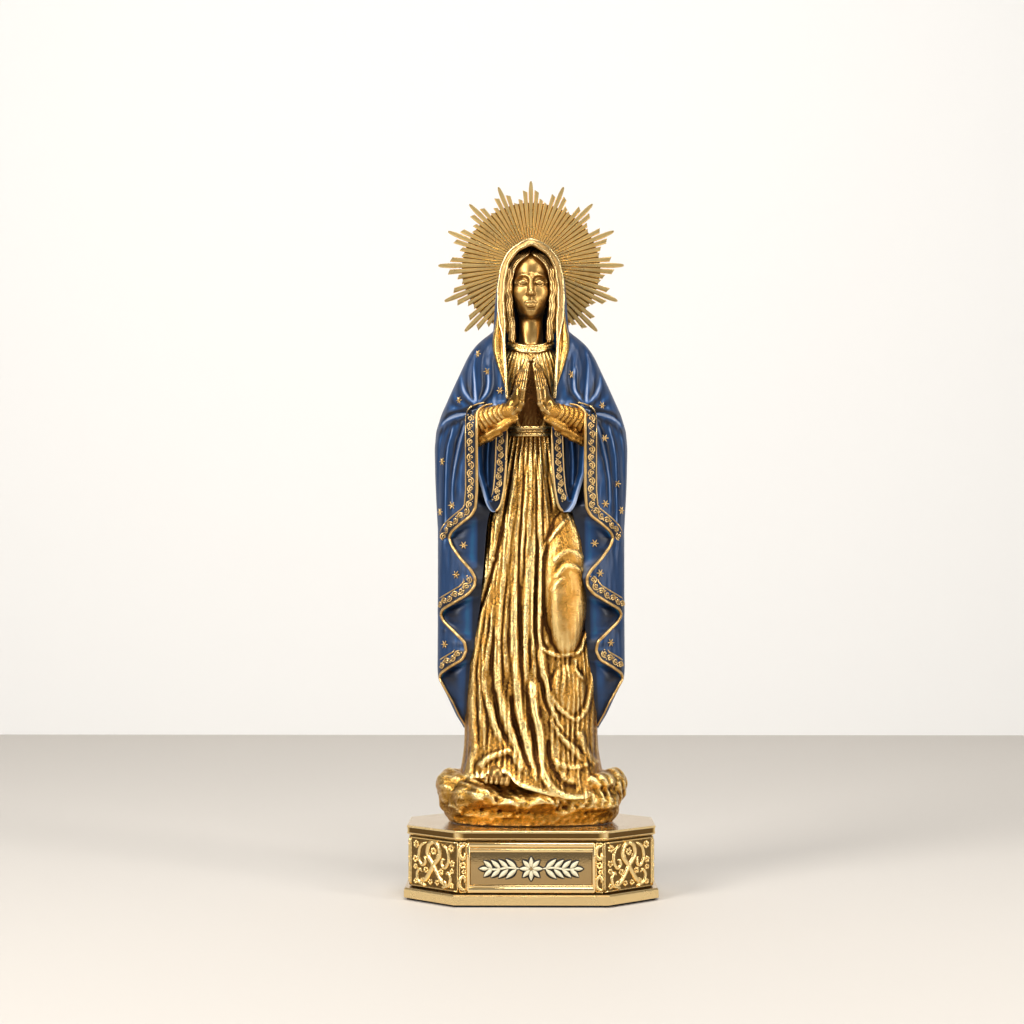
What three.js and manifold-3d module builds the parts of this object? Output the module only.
// A devotional statue of the Madonna at prayer, 300 mm tall: an eight-sided pedestal with relief
// panels and a nameplate, a figure of cast pieces on a rock, and a sunburst halo on a plug-in peg.
// Millimetres, +Z up. The origin is the middle of the underside, and the figure faces -Y.
import * as THREE from "three";
import { mergeVertices } from "three/addons/utils/BufferGeometryUtils.js";
import Module from "manifold-3d";

const wasm = await Module();
wasm.setup();

// Driving dimensions.
const GAP = 0.3; // left between two cast pieces that meet on a shaped face
const FELT = 0.8;
const PLINTH_TOP = 5;
const SLAB_BOTTOM = 26;
const PEDESTAL_TOP = 30;
const ROCK_TOP = 50;
const WAIST = 189;
const BELT_TOP = 193.5;
const SHOULDER = 233;
const HEAD_CENTRE = 251.5;
const HALO_CENTRE = 262.8;
const HALO_RADIUS = 38.4;
const HALO_FRONT = 16.4; // y of the rays' front faces
const PEG_RADIUS = 1.5;

// Half sizes of the pedestal's octagons: half width, half depth, and what each corner cuts off.
const PLINTH = { width: 51.6, depth: 32.5, cutX: 21, cutY: 18.5 };
const CORE = { width: 48.8, depth: 30.2, cutX: 20.4, cutY: 18 };
const SLAB = { width: 50.5, depth: 31.8, cutX: 20.4, cutY: 18 };

// ---- materials -------------------------------------------------------------------------------

function finish(color, roughness, metalness) {
  return new THREE.MeshStandardMaterial({ color, roughness, metalness });
}
const oldGold = finish(0xb58a3c, 0.35, 1);
const brightGold = finish(0xd9b765, 0.3, 1);
const darkBronze = finish(0x6d5a38, 0.35, 1);
const blueGlaze = finish(0x1c4f8c, 0.45, 0);
const ivory = finish(0xefe6c4, 0.5, 0);
const steel = finish(0x9a9a9a, 0.4, 1);
const felt = finish(0x23262b, 0.95, 0);

// ---- solids ----------------------------------------------------------------------------------

function toSolid(geometry) {
  const bare = geometry.clone();
  bare.deleteAttribute("normal");
  bare.deleteAttribute("uv");
  const merged = mergeVertices(bare, 1e-3);
  return new wasm.Manifold(
    new wasm.Mesh({
      numProp: 3,
      vertProperties: merged.attributes.position.array,
      triVerts: new Uint32Array(merged.index.array),
    }),
  );
}

function toGeometry(made) {
  const mesh = made.getMesh();
  const geometry = new THREE.BufferGeometry();
  geometry.setAttribute("position", new THREE.BufferAttribute(mesh.vertProperties, 3));
  geometry.setIndex(new THREE.BufferAttribute(mesh.triVerts, 1));
  geometry.computeVertexNormals();
  return geometry;
}

function cut(body, ...tools) {
  return tools.reduce((left, tool) => left.subtract(tool), body);
}

// A skin pulled over horizontal sections { z, side, front, back, x, y }: half width, depth in
// front of and behind the section's middle, and where that middle is. `square` over 2 fills out
// the corners of the oval.
function sectioned(sections, { segments = 32, square = 2, grow = 0 } = {}) {
  const levels = sections.length - 1;
  const geometry = new THREE.CylinderGeometry(1, 1, levels, segments, levels).toNonIndexed();
  geometry.rotateX(Math.PI / 2);
  const position = geometry.attributes.position;
  for (let i = 0; i < position.count; i++) {
    const level = Math.round(position.getZ(i) + levels / 2);
    const { z, side, front, back, x = 0, y = 0 } = sections[level];
    const reach = Math.hypot(position.getX(i), position.getY(i));
    const angle = Math.atan2(position.getY(i), position.getX(i));
    const across = reach * Math.sign(Math.cos(angle)) * Math.abs(Math.cos(angle)) ** (2 / square);
    const along = reach * Math.sign(Math.sin(angle)) * Math.abs(Math.sin(angle)) ** (2 / square);
    const depth = (along < 0 ? front : back) + grow;
    const lift = level === 0 ? -grow : level === levels ? grow : 0;
    position.setXYZ(i, x + across * (side + grow), y + along * depth, z + lift);
  }
  return toSolid(geometry);
}

// A flat outline drawn on the front view, [x, z] points, standing from yFront back to yBack.
function frontPlate(points, yFront, yBack) {
  const shape = new THREE.Shape(points.map(([x, z]) => new THREE.Vector2(x, z)));
  const depth = yBack - yFront;
  const geometry = new THREE.ExtrudeGeometry(shape, { depth, bevelEnabled: false });
  return geometry.rotateX(Math.PI / 2).translate(0, yBack, 0);
}

function octagonCorners({ width, depth, cutX, cutY }) {
  return [
    [-width + cutX, -depth],
    [width - cutX, -depth],
    [width, -depth + cutY],
    [width, depth - cutY],
    [width - cutX, depth],
    [-width + cutX, depth],
    [-width, depth - cutY],
    [-width, -depth + cutY],
  ];
}

function octagon(size, zLow, zHigh, inset = 0) {
  const { width, depth, cutX, cutY } = size;
  const corners = octagonCorners({ width: width - inset, depth: depth - inset, cutX, cutY });
  const shape = new THREE.Shape(corners.map(([x, y]) => new THREE.Vector2(x, y)));
  const geometry = new THREE.ExtrudeGeometry(shape, { depth: zHigh - zLow, bevelEnabled: false });
  return geometry.translate(0, 0, zLow);
}

function upright(radius, zLow, zHigh, sides = 24) {
  const geometry = new THREE.CylinderGeometry(radius, radius, zHigh - zLow, sides);
  return geometry.rotateX(Math.PI / 2).translate(0, 0, (zLow + zHigh) / 2);
}

function block(x, y, z) {
  const size = [x, y, z].map(([low, high]) => high - low);
  const middle = [x, y, z].map(([low, high]) => (low + high) / 2);
  return new THREE.BoxGeometry(...size).translate(...middle);
}

function named(name, made, material) {
  const geometry = made.isBufferGeometry ? made : toGeometry(made);
  const mesh = new THREE.Mesh(geometry, material);
  mesh.name = name;
  return mesh;
}

function mirrored(made) {
  return made.mirror([1, 0, 0]);
}

// ---- pedestal --------------------------------------------------------------------------------

const BOLT = { shank: 2.5, head: 4.2, headLow: 8, headHigh: 11.5, washerTop: 12.5, tip: 40 };
const INSERT = { radius: 4, low: 31, high: 41 };
const FRAME = { width: 25.5, low: 5.5, high: 25.5, bar: 1.3, railHigh: 3.6, railLow: 3 };

function pedestal() {
  const group = new THREE.Group();
  const access = toSolid(upright(7, -1, SLAB_BOTTOM / 2));
  const headPocket = toSolid(upright(6, PLINTH_TOP - 1, BOLT.washerTop));
  const boltHole = toSolid(upright(BOLT.shank + GAP, -1, PEDESTAL_TOP + 1));
  const plinth = cut(toSolid(octagon(PLINTH, FELT, PLINTH_TOP)), access);
  const core = cut(toSolid(octagon(CORE, PLINTH_TOP, SLAB_BOTTOM)), headPocket, boltHole);
  const slab = cut(toSolid(octagon(SLAB, SLAB_BOTTOM, PEDESTAL_TOP)), boltHole);
  group.add(
    named("felt_base", octagon(PLINTH, 0, FELT, 1.2), felt),
    named("plinth_base", plinth, brightGold),
    named("frieze_core", core, darkBronze),
    named("top_slab", slab, brightGold),
  );
  group.add(...reliefPanels(), ...nameplate(), ...fastening());
  return group;
}

// One cast panel on each face of the frieze but the front, which has the nameplate between two
// short scroll ends.
function reliefPanels() {
  const names = ["front", "front_right", "right", "back_right", "back", "back_left", "left", "front_left"];
  const corners = octagonCorners(CORE).map(([x, y]) => new THREE.Vector2(x, y));
  const thickness = 1.2;
  const height = SLAB_BOTTOM - PLINTH_TOP - 2 * GAP;
  const middle = (SLAB_BOTTOM + PLINTH_TOP) / 2;
  const panels = [];
  corners.forEach((from, face) => {
    if (names[face] === "front") return;
    const to = corners[(face + 1) % corners.length];
    const along = to.clone().sub(from);
    const outward = new THREE.Vector2(along.y, -along.x).normalize();
    const centre = from.clone().add(to).multiplyScalar(0.5);
    centre.addScaledVector(outward, GAP + thickness / 2);
    const box = new THREE.BoxGeometry(along.length() - 0.8, thickness, height);
    const panel = named("relief_panel_" + names[face], box, oldGold);
    panel.position.set(centre.x, centre.y, middle);
    panel.rotation.z = along.angle();
    panels.push(panel);
  });
  for (const [name, side] of [["left", -1], ["right", 1]]) {
    const inner = FRAME.width + GAP;
    const outer = CORE.width - CORE.cutX;
    const wide = [side * inner, side * outer].sort((a, b) => a - b);
    const deep = [-CORE.depth - thickness, -CORE.depth];
    const high = [PLINTH_TOP + GAP, SLAB_BOTTOM - GAP];
    panels.push(named("scroll_end_" + name, block(wide, deep, high), oldGold));
  }
  return panels;
}

function nameplate() {
  const { width, low, high, bar, railHigh, railLow } = FRAME;
  const window = [[-width + bar, width - bar], [-60, 0], [low + railLow, high - railHigh]];
  const frame = cut(
    toSolid(block([-width, width], [-CORE.depth - 2, -CORE.depth], [low, high])),
    toSolid(block(...window)),
  );
  const [across, , tall] = window;
  const tuck = 0.1;
  const plate = block(
    [across[0] + tuck, across[1] - tuck],
    [-CORE.depth - 0.9, -CORE.depth],
    [tall[0] + tuck, tall[1] - tuck],
  );
  return [
    named("nameplate_frame", frame, brightGold),
    named("nameplate_plate", plate, darkBronze),
    named("nameplate_emblem", emblem((tall[0] + tall[1]) / 2), ivory),
  ];
}

// A leafy sprig with a rosette at its middle, standing on the plate.
function emblem(z) {
  const back = -CORE.depth - 0.9;
  const front = back - 0.7;
  const oval = (length, width, x, lift, turn) => {
    const outline = new THREE.EllipseCurve(0, 0, length, width, 0, 2 * Math.PI, false, turn);
    const points = outline.getPoints(8).slice(0, -1);
    return toSolid(frontPlate(points.map((p) => [p.x + x, p.y + z + lift]), front, back));
  };
  let made = toSolid(block([-17.5, 17.5], [front, back], [z - 0.35, z + 0.35]));
  for (let petal = 0; petal < 4; petal++) {
    made = made.add(oval(3.9, 1.1, 0, 0, (petal * Math.PI) / 4));
  }
  for (const side of [-1, 1]) {
    for (let leaf = 0; leaf < 4; leaf++) {
      const x = side * (6.4 + 3.1 * leaf);
      made = made.add(oval(2.1, 0.85, x, 1.4, side * 0.75));
      made = made.add(oval(2.1, 0.85, x, -1.4, -side * 0.75));
    }
    made = made.add(oval(2, 0.9, side * 18.2, 0, 0));
  }
  return made;
}

function fastening() {
  const shank = toSolid(upright(BOLT.shank, BOLT.headHigh - 1, BOLT.tip));
  const bolt = toSolid(upright(BOLT.head, BOLT.headLow, BOLT.headHigh, 6)).add(shank);
  const hole = toSolid(upright(BOLT.shank + GAP / 2, 0, 60));
  const washer = cut(toSolid(upright(5.5, BOLT.headHigh, BOLT.washerTop)), hole);
  const insert = cut(toSolid(upright(INSERT.radius, INSERT.low, INSERT.high, 6)), hole);
  return [
    named("mount_bolt", bolt, steel),
    named("mount_washer", washer, steel),
    named("rock_insert", insert, brightGold),
  ];
}

// ---- sections of the figure ------------------------------------------------------------------

const ROCK = [
  { z: 30, side: 34.6, front: 21, back: 21 },
  { z: 36, side: 36.6, front: 23.4, back: 22 },
  { z: 42, side: 38, front: 24.6, back: 22.6 },
  { z: 47, side: 38.2, front: 24, back: 22 },
  { z: ROCK_TOP, side: 35.6, front: 21.6, back: 20 },
];
const SKIRT = [
  { z: ROCK_TOP, side: 29, front: 19.5, back: 15.5 },
  { z: 60, side: 28.4, front: 19, back: 15 },
  { z: 80, side: 27.8, front: 17.4, back: 14.5 },
  { z: 100, side: 27.4, front: 16.6, back: 14 },
  { z: 122, side: 25, front: 16, back: 13.5 },
  { z: 142, side: 23.4, front: 15.4, back: 13 },
  { z: 162, side: 19.6, front: 14, back: 12 },
  { z: 177, side: 14.6, front: 12.2, back: 11 },
  { z: WAIST, side: 11, front: 10.8, back: 10 },
];
const BODICE = [
  { z: BELT_TOP, side: 11, front: 10.8, back: 10 },
  { z: 205, side: 14.5, front: 12.6, back: 11 },
  { z: 218, side: 17, front: 12.6, back: 11.5 },
  { z: 225, side: 15, front: 10.6, back: 10 },
  { z: 229, side: 9, front: 7.6, back: 7 },
];
const MANTLE = [
  { z: 68.5, side: 27.6, front: 8, back: 19.4 },
  { z: 74, side: 31, front: 9, back: 19.8 },
  { z: 82, side: 34.8, front: 11, back: 20 },
  { z: 90, side: 38.6, front: 13, back: 20 },
  { z: 120, side: 38.7, front: 15.5, back: 19.8 },
  { z: 150, side: 38.7, front: 17.5, back: 19 },
  { z: 171, side: 39.7, front: 19, back: 18.4 },
  { z: 184, side: 40, front: 20, back: 18 },
  { z: 193, side: 39.4, front: 19.6, back: 17.6 },
  { z: 199, side: 37.4, front: 17.6, back: 17.2 },
  { z: 209, side: 32.6, front: 16, back: 16.6 },
  { z: 221, side: 27, front: 14.6, back: 16 },
  { z: 228, side: 22, front: 12.4, back: 15.6 },
  { z: SHOULDER, side: 18.6, front: 9.6, back: 15.2 },
];
const HOOD = [
  { z: SHOULDER + GAP, side: 17.6, front: 9.4, back: 15.2 },
  { z: 240, side: 15.2, front: 9.2, back: 15.2 },
  { z: 250, side: 14.2, front: 9, back: 15.2 },
  { z: 258, side: 13, front: 8.6, back: 15 },
  { z: 264, side: 10.8, front: 8, back: 14 },
  { z: 268.5, side: 7.4, front: 6.6, back: 11.5 },
  { z: 271.2, side: 2.4, front: 4, back: 6 },
];
const HEAD = [
  { z: 227, side: 5.4, front: 3.6, back: 4.6 },
  { z: 236, side: 4.7, front: 4.2, back: 4.6 },
  { z: 239, side: 5.2, front: 9.2, back: 5 },
  { z: 243, side: 6.8, front: 10.4, back: 6.4 },
  { z: 248, side: 8, front: 10.6, back: 7.4 },
  { z: HEAD_CENTRE + 2, side: 8.4, front: 10.4, back: 7.6 },
  { z: 259, side: 8, front: 9.6, back: 7.2 },
  { z: 264, side: 6, front: 7, back: 5.4 },
  { z: 266, side: 2.4, front: 3, back: 2.4 },
];
const ARM = { elbow: [-26.5, -9.6, 187.5], wrist: [-8.6, -23.4, 198], wide: 7.6, narrow: 3.5 };
const LOOP = [
  [-22.4, 183],
  [-10.4, 188.5],
  [-10.2, 165],
  [-11.6, 160],
  [-14, 157.2],
  [-16.6, 157.2],
  [-19, 160.5],
  [-22.4, 171],
];

// The forearm and its sleeve, a cone from inside the mantle's fold to the wrist.
function forearm(grow = 0) {
  const elbow = new THREE.Vector3(...ARM.elbow);
  const wrist = new THREE.Vector3(...ARM.wrist);
  const length = elbow.distanceTo(wrist);
  const cone = new THREE.CylinderGeometry(ARM.narrow + grow, ARM.wide + grow, length + 2 * grow, 24);
  const turn = new THREE.Quaternion().setFromUnitVectors(
    new THREE.Vector3(0, 1, 0),
    wrist.clone().sub(elbow).normalize(),
  );
  const middle = elbow.add(wrist).multiplyScalar(0.5);
  return toSolid(cone.applyQuaternion(turn).translate(middle.x, middle.y, middle.z));
}

// The knee that presses the skirt forward on the figure's left.
function knee(grow = 0) {
  const ball = new THREE.SphereGeometry(1, 24, 16);
  ball.scale(9.5 + grow, 7.6 + grow, 27 + grow);
  return toSolid(ball.translate(13.4, -12.2, 118));
}

// ---- figure ----------------------------------------------------------------------------------

function figure() {
  const group = new THREE.Group();
  const rod = (grow) => toSolid(upright(2 + grow, 44 - grow, 216 + grow, 16));
  const skirtSize = (grow) => sectioned(SKIRT, { square: 2.3, grow }).add(knee(grow));
  const bodiceSize = (grow) => sectioned(BODICE, { square: 2.2, grow });
  const insertHole = toSolid(upright(INSERT.radius + GAP, PEDESTAL_TOP - 1, INSERT.high + 1, 6));
  const above = toSolid(block([-60, 60], [-60, 60], [ROCK_TOP, 300]));
  const rock = cut(sectioned(ROCK, { square: 2.3 }), insertHole, rod(GAP));
  const skirt = cut(skirtSize(0).intersect(above), rod(GAP));
  const belt = cut(
    sectioned([{ ...SKIRT.at(-1), z: WAIST }, { ...BODICE[0], z: BELT_TOP }], { grow: 0.7 })
      .intersect(toSolid(block([-60, 60], [-60, 60], [WAIST, BELT_TOP]))),
    rod(GAP),
  );
  const bodice = cut(bodiceSize(0), rod(GAP));
  group.add(
    named("rock_base", rock, oldGold),
    named("armature_rod", rod(0), steel),
    named("robe_skirt", skirt, oldGold),
    named("belt", belt, oldGold),
    named("robe_bodice", bodice, oldGold),
    named("foot", foot(rock, skirtSize(GAP)), oldGold),
  );
  group.add(...mantle(skirtSize(GAP), bodiceSize(GAP)), ...arms(), ...headAndVeil(bodiceSize(GAP)));
  return group;
}

function foot(rock, skirt) {
  const toes = new THREE.SphereGeometry(1, 20, 12).scale(5.4, 5, 3).translate(-13.6, -20, 51.5);
  const clear = toSolid(block([-60, 60], [-60, 60], [ROCK_TOP, 300]));
  return cut(toSolid(toes).intersect(clear), skirt);
}

// The blue cloak: one outer skin, opened down the front, hollowed for the robe and the arms, then
// parted into the back and the two front falls.
function mantle(skirt, bodice) {
  const outer = sectioned(MANTLE, { square: 2.5, segments: 40 });
  const chest = [[-16, 240], [-9.6, 206], [-9.6, 196], [9.6, 196], [9.6, 206], [16, 240]];
  const opening = toSolid(frontPlate(chest, -60, -4));
  const lap = toSolid(block([-22.9, 22.9], [-60, -3], [40, 196.5]));
  const waist = sectioned(
    [{ ...SKIRT.at(-1), z: WAIST - 1 }, { ...BODICE[0], z: BELT_TOP + 1 }],
    { grow: 0.7 + GAP },
  );
  const neck = sectioned(
    [{ z: 222, side: 10, front: 12, back: 9 }, { z: SHOULDER + 1, side: 10, front: 12, back: 9 }],
  );
  const hollow = [opening, lap, skirt, bodice, waist, neck];
  const pairs = [forearm(GAP), lapelSize(GAP)];
  const cloak = cut(outer, ...hollow, ...pairs, ...pairs.map(mirrored));
  const seam = 2;
  const back = cloak.intersect(toSolid(block([-60, 60], [seam + GAP, 60], [40, 260])));
  const left = cloak.intersect(toSolid(block([-60, -0.5], [-60, seam], [40, 260])));
  return [
    named("mantle_back", largest(back), blueGlaze),
    named("mantle_fall_left", largest(left), blueGlaze),
    named("mantle_fall_right", mirrored(largest(left)), blueGlaze),
    ...sleeveLoops(skirt, waist),
  ];
}

function largest(made) {
  return made.decompose().reduce((a, b) => (a.volume() > b.volume() ? a : b));
}

// The folds of the mantle that hang between the forearms and the belt.
function sleeveLoops(skirt, waist) {
  const plate = toSolid(frontPlate(LOOP, -17.4, -7));
  const left = largest(cut(plate, skirt, waist, forearm(GAP)));
  return [
    named("sleeve_loop_left", left, blueGlaze),
    named("sleeve_loop_right", mirrored(left), blueGlaze),
  ];
}

function arms() {
  const hand = sectioned(
    [
      { z: 197.4, x: -7.6, y: -24.6, side: 2.6, front: 3.6, back: 3.6 },
      { z: 203, x: -5, y: -25.4, side: 2.6, front: 4.6, back: 4.6 },
      { z: 209, x: -3.4, y: -26, side: 2, front: 4.4, back: 4.4 },
      { z: 214, x: -2.1, y: -26.4, side: 1.5, front: 3.6, back: 3.6 },
      { z: 218.4, x: -1.1, y: -26.6, side: 0.7, front: 1.6, back: 1.6 },
    ],
    { segments: 16 },
  );
  const left = cut(hand, forearm(GAP));
  return [
    named("forearm_left", forearm(), oldGold),
    named("forearm_right", mirrored(forearm()), oldGold),
    named("hand_left", left, brightGold),
    named("hand_right", mirrored(left), brightGold),
  ];
}

// The turned-out edge of the veil's lining that runs from the shoulder down to the wrist.
function lapelSize(grow = 0) {
  const outline = [
    [-15.6 - 2 * grow, 232.7 + grow],
    [-9.6 + grow, 232.7 + grow],
    [-9.3 + grow, 206 - 4 * grow],
    [-9.9 - 2 * grow, 206.4 - 4 * grow],
  ];
  return toSolid(frontPlate(outline, -14.6 - grow, -8 + grow));
}

// The head, the hair beside it, the gold veil round the face, its lapels on the chest, the collar
// and the blue hood behind.
function headAndVeil(bodice) {
  const headSize = (grow) => sectioned(HEAD, { segments: 28, grow });
  const neckHole = sectioned([{ ...HEAD[0], z: 220 }, { ...HEAD[0], z: 236 }], { grow: GAP });
  const hood = sectioned(HOOD, { square: 2.2 });
  const face = new THREE.CylinderGeometry(1, 1, 30, 32).scale(10.4, 1, 15.4);
  const faceHole = toSolid(face.translate(0, -11, 250.6));
  const throat = toSolid(block([-10.4, 10.4], [-26, 4], [225, 250.6]));
  const shell = cut(hood, faceHole, throat, headSize(GAP), socketBore(GAP));
  const rim = -2;
  const veil = shell.intersect(toSolid(block([-40, 40], [-40, rim], [220, 290])));
  const cover = shell.intersect(toSolid(block([-40, 40], [rim + GAP, 40], [220, 290])));
  const lock = sectioned(
    [
      { z: 231.8, x: -7.3, y: -4.6, side: 1.4, front: 3, back: 3 },
      { z: 240, x: -8.4, y: -4.4, side: 1.7, front: 3.6, back: 5 },
      { z: 252, x: -8.9, y: -3, side: 1.2, front: 4, back: 5 },
      { z: 259, x: -7.4, y: -3, side: 1.2, front: 4, back: 5 },
    ],
    { segments: 16 },
  );
  const hair = cut(lock, headSize(GAP), bodice, cut(hood, faceHole, throat));
  const torus = new THREE.TorusGeometry(1, 0.13, 10, 40).scale(8.6, 7.4, 8.6);
  torus.rotateX(-0.2).translate(0, -1.2, 228.6);
  const collar = cut(toSolid(torus), bodice, neckHole);
  const lapel = largest(cut(lapelSize(), bodice, lock, neckHole));
  return [
    named("head", cut(headSize(0), bodice, socketBore(GAP)), brightGold),
    named("hair_left", largest(hair), oldGold),
    named("hair_right", mirrored(largest(hair)), oldGold),
    named("collar", largest(collar), brightGold),
    named("veil", largest(veil), brightGold),
    named("veil_lapel_left", lapel, brightGold),
    named("veil_lapel_right", mirrored(lapel), brightGold),
    named("mantle_hood", largest(cover), blueGlaze),
    named("halo_socket", socket(), steel),
  ];
}

// ---- halo ------------------------------------------------------------------------------------

const SOCKET = { radius: 2.4, mouth: HALO_FRONT - 1.4, floor: 7.5 };

function lying(radius, yFront, yBack, sides = 16) {
  const geometry = new THREE.CylinderGeometry(radius, radius, yBack - yFront, sides);
  return geometry.translate(0, (yFront + yBack) / 2, HALO_CENTRE);
}

function socketBore(grow) {
  return toSolid(lying(SOCKET.radius + grow, SOCKET.floor - grow, SOCKET.mouth + 10));
}

function socket() {
  const bore = toSolid(lying(PEG_RADIUS + 0.05, SOCKET.floor + 1, SOCKET.mouth + 1));
  return cut(toSolid(lying(SOCKET.radius, SOCKET.floor, SOCKET.mouth)), bore);
}

// Eighty ray places round the circle, in groups of five that step down from a long pointed ray.
// The lowest places, behind the neck, stay empty.
const RAYS = { places: 80, empty: 13, steps: [1, 0.88, 0.77, 0.77, 0.88], inner: 9, thick: 1.6 };

function rayLength(place) {
  const angle = (2 * Math.PI * place) / RAYS.places;
  const reach = HALO_RADIUS - 1.2 * Math.cos(angle);
  return reach * RAYS.steps[((place % 5) + 5) % 5];
}

function sunburst() {
  const pitch = (2 * Math.PI) / RAYS.places;
  const half = (RAYS.places - RAYS.empty) / 2;
  const outline = [];
  const at = (radius, angle) => {
    outline.push([radius * Math.sin(angle), HALO_CENTRE + radius * Math.cos(angle)]);
  };
  for (let place = -Math.floor(half); place <= Math.floor(half); place++) {
    const angle = place * pitch;
    const length = rayLength(place);
    const point = place % 5 === 0 ? 3.4 : 0.9;
    at(Math.min(length, rayLength(place - 1)) - 2.4, angle - pitch / 2);
    at(length - point, angle - 0.3 * pitch);
    at(length, angle);
    at(length - point, angle + 0.3 * pitch);
  }
  at(RAYS.inner, (Math.floor(half) + 0.5) * pitch);
  for (let step = 8; step > -9; step--) at(RAYS.inner, (step / 9) * half * pitch);
  at(RAYS.inner, -(Math.floor(half) + 0.5) * pitch);
  return frontPlate(outline.reverse(), HALO_FRONT, HALO_FRONT + RAYS.thick);
}

function halo() {
  const group = new THREE.Group();
  const back = HALO_FRONT + RAYS.thick;
  const hub = toSolid(lying(11.5, back, back + 1.2, 40));
  const peg = toSolid(lying(PEG_RADIUS, SOCKET.floor + 1.3, back));
  const collarRing = toSolid(lying(4, HALO_FRONT - 0.9, back));
  group.add(
    named("halo_sunburst", sunburst(), brightGold),
    named("halo_hub", hub, brightGold),
    named("halo_peg", peg.add(collarRing), steel),
  );
  return group;
}

// ---- assembly --------------------------------------------------------------------------------

const statue = new THREE.Group();
statue.add(pedestal(), figure(), halo());

export default statue;
